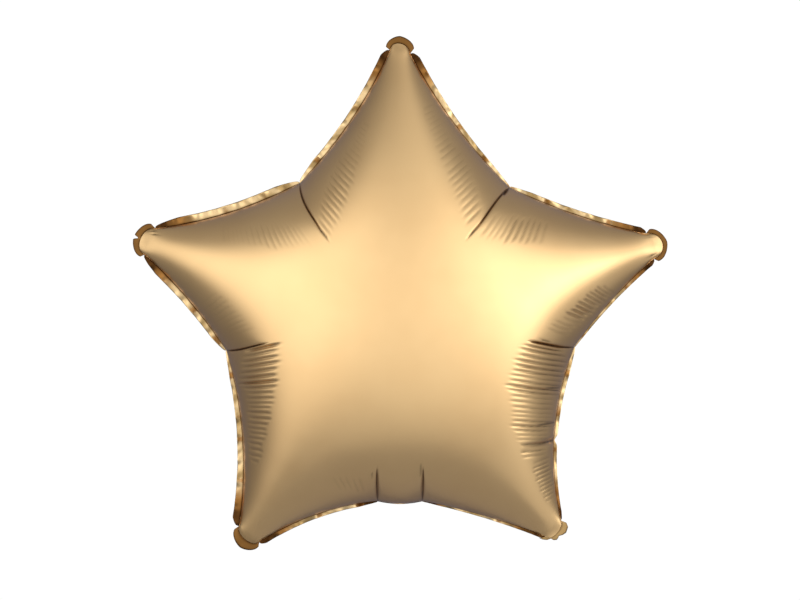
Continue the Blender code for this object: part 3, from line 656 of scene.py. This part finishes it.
def newGroup(name, inputs, outputs):
    # a shader node group with named sockets: inputs are (name, kind, value), outputs (name, kind)
    tree = bpy.data.node_groups.new(name, "ShaderNodeTree")
    for label, kind, value in inputs:
        socket(tree, label, "INPUT", kind, value)
    for label, kind in outputs:
        socket(tree, label, "OUTPUT", kind)
    return tree, tree.nodes.new("NodeGroupInput").outputs, tree.nodes.new("NodeGroupOutput").inputs


def noise(tree, scale, detail, roughness, vector=None):
    # a noise over the piece's own coordinates, or over a vector; the scale is a number or a node's output
    made = tree.nodes.new("ShaderNodeTexNoise")
    made.inputs["Detail"].default_value = detail
    made.inputs["Roughness"].default_value = roughness
    if vector is None:
        vector = tree.nodes.new("ShaderNodeTexCoord").outputs["Object"]
    tree.links.new(vector, made.inputs["Vector"])
    if isinstance(scale, (int, float)):
        made.inputs["Scale"].default_value = scale
    else:
        tree.links.new(scale, made.inputs["Scale"])
    return made.outputs["Fac"]


def remap(tree, value, low, high, toLow=0.0, toHigh=1.0):
    # a smooth step between low and high
    made = tree.nodes.new("ShaderNodeMapRange")
    made.interpolation_type = "SMOOTHSTEP"
    tree.links.new(value, made.inputs["Value"])
    for label, amount in (("From Min", low), ("From Max", high), ("To Min", toLow), ("To Max", toHigh)):
        made.inputs[label].default_value = amount
    return made.outputs["Result"]


def calculate(tree, operation, first, second):
    made = tree.nodes.new("ShaderNodeMath")
    made.operation = operation
    for number, value in enumerate((first, second)):
        if isinstance(value, (int, float)):
            made.inputs[number].default_value = value
        else:
            tree.links.new(value, made.inputs[number])
    return made.outputs["Value"]


def mixColours(tree, factor, first, second):
    made = tree.nodes.new("ShaderNodeMix")
    made.data_type = "RGBA"
    for label, value in ((0, factor), (6, first), (7, second)):
        if isinstance(value, (int, float, tuple)):
            made.inputs[label].default_value = value
        else:
            tree.links.new(value, made.inputs[label])
    return made.outputs[2]


# Noises as (scale, detail, roughness), and the shares of cloud and grain in the roughness's swing
grainNoises = {"cloud": (26, 3, .55), "grain": (1400, 2, .6), "shares": (.7, .3)}


def satinGrainGroup():
    # Satin finish: roughness varies with a fine and a cloudy noise, and the height holds soft dents and the grain
    tree, given, result = newGroup("satin_grain", (
        ("Roughness", "NodeSocketFloat", .3), ("Spread", "NodeSocketFloat", .05),
        ("Dent Scale", "NodeSocketFloat", 22.0), ("Dents", "NodeSocketFloat", 1.0),
        ("Grain", "NodeSocketFloat", .2)), (("Roughness", "NodeSocketFloat"), ("Height", "NodeSocketFloat")))
    cloud, grain = noise(tree, *grainNoises["cloud"]), noise(tree, *grainNoises["grain"])
    mixed = calculate(tree, "ADD", *(calculate(tree, "MULTIPLY", value, share)
                                     for value, share in zip((cloud, grain), grainNoises["shares"])))
    swing = calculate(tree, "MULTIPLY", calculate(tree, "SUBTRACT", mixed, .5), given["Spread"])
    roughness = calculate(tree, "ADD", given["Roughness"], calculate(tree, "MULTIPLY", swing, 2))
    tree.links.new(roughness, result["Roughness"])
    dents = calculate(tree, "MULTIPLY", noise(tree, given["Dent Scale"], 2, .5), given["Dents"])
    fine = calculate(tree, "MULTIPLY", grain, given["Grain"])
    tree.links.new(calculate(tree, "ADD", dents, fine), result["Height"])
    return tree


def furrowToneGroup():
    # A colour that gives way to a second one where the mask rises, broken up by a noise.
    tree, given, result = newGroup("furrow_tone", (
        ("Color", "NodeSocketColor", (1, 1, 1, 1)), ("Deep Color", "NodeSocketColor", (0, 0, 0, 1)),
        ("Mask", "NodeSocketFloat", 0.0), ("Amount", "NodeSocketFloat", 1.0),
        ("Noise Scale", "NodeSocketFloat", 200.0)), (("Color", "NodeSocketColor"),))
    broken = remap(tree, noise(tree, given["Noise Scale"], 2, .6), .3, .7, .8, 1.0)
    amount = calculate(tree, "MULTIPLY", given["Mask"], given["Amount"])
    factor = calculate(tree, "MULTIPLY", amount, broken)
    tree.links.new(mixColours(tree, factor, given["Color"], given["Deep Color"]), result["Color"])
    return tree


satinGrain, furrowTone = satinGrainGroup(), furrowToneGroup()


def placeGroup(tree, group, values):
    # puts a node group into a material; a value is a number, a colour or another node's output
    made = tree.nodes.new("ShaderNodeGroup")
    made.node_tree = group
    for label, value in values.items():
        if isinstance(value, (int, float, tuple)):
            made.inputs[label].default_value = value
        else:
            tree.links.new(value, made.inputs[label])
    return made.outputs


def attribute(tree, name):
    made = tree.nodes.new("ShaderNodeAttribute")
    made.attribute_name = name
    return made.outputs["Fac"]


def addFinish(tree, shader, look):
    # metal with the satin grain's roughness, and its height as a bump
    grain = placeGroup(tree, satinGrain, {"Roughness": look["roughness"], "Spread": look["spread"],
                                          "Dent Scale": look["dentScale"], "Dents": 1.0, "Grain": look["grain"]})
    bump = tree.nodes.new("ShaderNodeBump")
    bump.inputs["Distance"].default_value, bump.inputs["Strength"].default_value = look["bump"]
    tree.links.new(grain["Roughness"], shader.inputs["Roughness"])
    tree.links.new(grain["Height"], bump.inputs["Height"])
    tree.links.new(bump.outputs["Normal"], shader.inputs["Normal"])
    shader.inputs["Metallic"].default_value = 1


def newMaterial(name):
    made = bpy.data.materials.new(name)
    made.use_nodes = True
    return made, made.node_tree, made.node_tree.nodes["Principled BSDF"]


def satinFoil():
    # satin gold: a cloudy pair of golds, and deep copper as painted shade in the furrows, creases, tips and along
    # the seam
    made, tree, shader = newMaterial("satin_gold_foil")
    scale, start, full = foil["clouds"]
    clouds = remap(tree, noise(tree, scale, 3, .55), start, full)
    golds = mixColours(tree, clouds, foil["gold"], foil["goldDeep"])
    # painted shade: deep copper where the furrow mask rises
    tone = placeGroup(tree, furrowTone, {"Color": golds, "Deep Color": foil["furrow"],
                                         "Mask": attribute(tree, "furrow"), "Amount": foil["furrowAmount"]})
    tree.links.new(tone["Color"], shader.inputs["Base Color"])
    addFinish(tree, shader, foil)
    shader.inputs["Specular Tint"].default_value = foil["edgeTint"]
    return made


def sealFoil():
    # The heat-sealed margin: its own gold in patches with copper between them as a painted reflection of the body,
    # painted shade beside the tabs that turns copper and then dark, brown tabs with a dark rim, and a dark foot of
    # painted shade along the seam.
    made, tree, shader = newMaterial("seal_gold_foil")
    look = sealFoilLook
    across, beside = attribute(tree, "across"), attribute(tree, "besideTab")
    slant = calculate(tree, "MULTIPLY", across, look["slant"])
    along = tree.nodes.new("ShaderNodeCombineXYZ")
    tree.links.new(calculate(tree, "ADD", attribute(tree, "run"), slant), along.inputs["X"])
    tree.links.new(slant, along.inputs["Y"])
    # painted reflection: copper patches between the margin's own gold
    scale, start, full = look["patches"]
    patches = remap(tree, noise(tree, scale, 1.5, .5, along.outputs["Vector"]), start, full)
    copperStart, darkStart, darkFull = look["besideSteps"]
    onTab = remap(tree, attribute(tree, "onTab"), *look["onTab"])
    colour = mixColours(tree, patches, look["gold"], look["copper"])
    # painted shade beside the tabs: copper first, then nearly black
    colour = mixColours(tree, remap(tree, beside, copperStart, darkStart), colour, look["shadedCopper"])
    colour = placeGroup(tree, furrowTone, {"Color": colour, "Deep Color": look["rim"], "Noise Scale": 120.0,
                                           "Mask": remap(tree, beside, darkStart, darkFull),
                                           "Amount": look["besideAmount"]})["Color"]
    colour = mixColours(tree, onTab, colour, look["tab"])
    crumpled = remap(tree, attribute(tree, "crumpled"), *look["onCrumpled"])
    colour = mixColours(tree, crumpled, colour, look["crumpled"])
    # painted shade: a dark foot along the seam
    foot = calculate(tree, "SUBTRACT", 1.0, remap(tree, across, 0.0, look["footWidth"]))
    rim = calculate(tree, "MULTIPLY", remap(tree, across, look["rimStart"], 1.0), onTab)
    for mask, amount in ((foot, look["footAmount"]), (rim, look["rimAmount"])):
        colour = placeGroup(tree, furrowTone, {"Color": colour, "Deep Color": look["rim"], "Mask": mask,
                                               "Amount": amount})["Color"]
    tree.links.new(colour, shader.inputs["Base Color"])
    addFinish(tree, shader, look)
    return made


satin, seal = satinFoil(), sealFoil()
for piece, material in ((front, satin), (back, satin), (sealMargin, seal), (fillNeck, satin)):
    piece.data.materials.append(material)
    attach(piece, "root")
    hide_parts("star_balloon")
print("materials made")

# The studio: a hanging star over a pale floor. The world is dim, with round fields of light in it: a soft wall in
# front, soft boxes at both sides, faint bounces from above and below, a dark card overhead and a white backdrop. A
# field lists the azimuth and elevation of its middle as seen from the star (0 towards the camera, positive to the
# right), the angles where it starts and stops to fade, and the colour that it adds, below 0 for the dark card.
studio = {
    "floorHeight": -1.75, "floorRadius": 1.05, "floorColour": (.50, .50, .52, 1), "floorRoughness": .9,
    "dim": (.195, .195, .205),
    "fields": ((20, 24, 1, 76, (.62, .62, .62)), (34, -34, 46, 70, (.27, .27, .27)),
               (-51, 6, 0, 49, (1.25, 1.25, 1.25)), (51, 13, 0, 39, (1.03, 1.03, 1.03)),
               (67, -4, 10, 20, (1.33, 1.33, 1.33)), (65, 70, 27, 128, (.13, .13, .13)),
               (-11, 11, 53, 111, (.10, .095, .085)), (5, 64, 4, 32, (-.17, -.17, -.17)),
               (94, -42, 5, 29, (.17, .17, .17)), (-88, -48, 5, 29, (.11, .11, .11)),
               (180, 0, 11, 17, (.805, .805, .795))),
}


def direction(azimuth, elevation):
    # unit vector from the star at an azimuth and an elevation
    a, e = np.radians(azimuth), np.radians(elevation)
    return np.array([np.sin(a) * np.cos(e), -np.cos(a) * np.cos(e), np.sin(e)])


def addFloor():
    # a disc: x and y are the radius times cosine and sine of the turn
    turn = np.linspace(0, 2 * np.pi, 96, endpoint=False)
    ring = np.column_stack([np.cos(turn), np.sin(turn)]) * studio["floorRadius"]
    points = np.column_stack([ring, np.full(len(ring), studio["floorHeight"])])
    mesh = bpy.data.meshes.new("floor")
    mesh.from_pydata(points.tolist(), [], [list(range(len(points)))])
    floor = bpy.data.objects.new("floor", mesh)
    bpy.context.scene.collection.objects.link(floor)
    made = bpy.data.materials.new("floor_paper")
    made.use_nodes = True
    inputs = made.node_tree.nodes["Principled BSDF"].inputs
    inputs["Base Color"].default_value = studio["floorColour"]
    inputs["Roughness"].default_value = studio["floorRoughness"]
    mesh.materials.append(made)


def addWorld():
    # dim all round, plus each field's colour times a smooth step between two angles off its middle
    world = bpy.data.worlds.new("studio")
    bpy.context.scene.world = world
    world.use_nodes = True
    tree = world.node_tree
    back = tree.nodes["Background"]
    way = tree.nodes.new("ShaderNodeTexCoord").outputs["Generated"]
    total = studio["dim"]   # the first field adds to this, the next ones to the node before
    for azimuth, elevation, inner, outer, colour in studio["fields"]:
        dot = tree.nodes.new("ShaderNodeVectorMath")
        dot.operation = "DOT_PRODUCT"
        tree.links.new(way, dot.inputs[0])
        dot.inputs[1].default_value = direction(azimuth, elevation)
        step = tree.nodes.new("ShaderNodeMapRange")
        step.interpolation_type = "SMOOTHSTEP"
        tree.links.new(dot.outputs["Value"], step.inputs["Value"])
        step.inputs["From Min"].default_value = np.cos(np.radians(outer))
        step.inputs["From Max"].default_value = np.cos(np.radians(inner))
        tinted = tree.nodes.new("ShaderNodeVectorMath")
        tinted.operation = "MULTIPLY_ADD"
        tree.links.new(step.outputs["Result"], tinted.inputs[0])
        tinted.inputs[1].default_value = colour
        if isinstance(total, tuple):
            tinted.inputs[2].default_value = total
        else:
            tree.links.new(total, tinted.inputs[2])
        total = tinted.outputs["Vector"]
    tree.links.new(total, back.inputs["Color"])


# The camera: distance from the star, height, and how much of the star's plane the picture is wide
camera = {"away": 2.4, "height": -.2200, "viewWidth": .6728, "sensor": 36}


def addCamera():
    data = bpy.data.cameras.new("camera")
    made = bpy.data.objects.new("camera", data)
    bpy.context.scene.collection.objects.link(made)
    data.sensor_width = camera["sensor"]
    data.lens = camera["sensor"] * camera["away"] / camera["viewWidth"]
    made.location = (0, -camera["away"], camera["height"])
    made.rotation_euler = (np.pi / 2, 0, 0)
    bpy.context.scene.camera = made


addFloor()
addCamera()
addWorld()
bpy.context.scene.view_settings.view_transform = "Standard"
print("studio built")
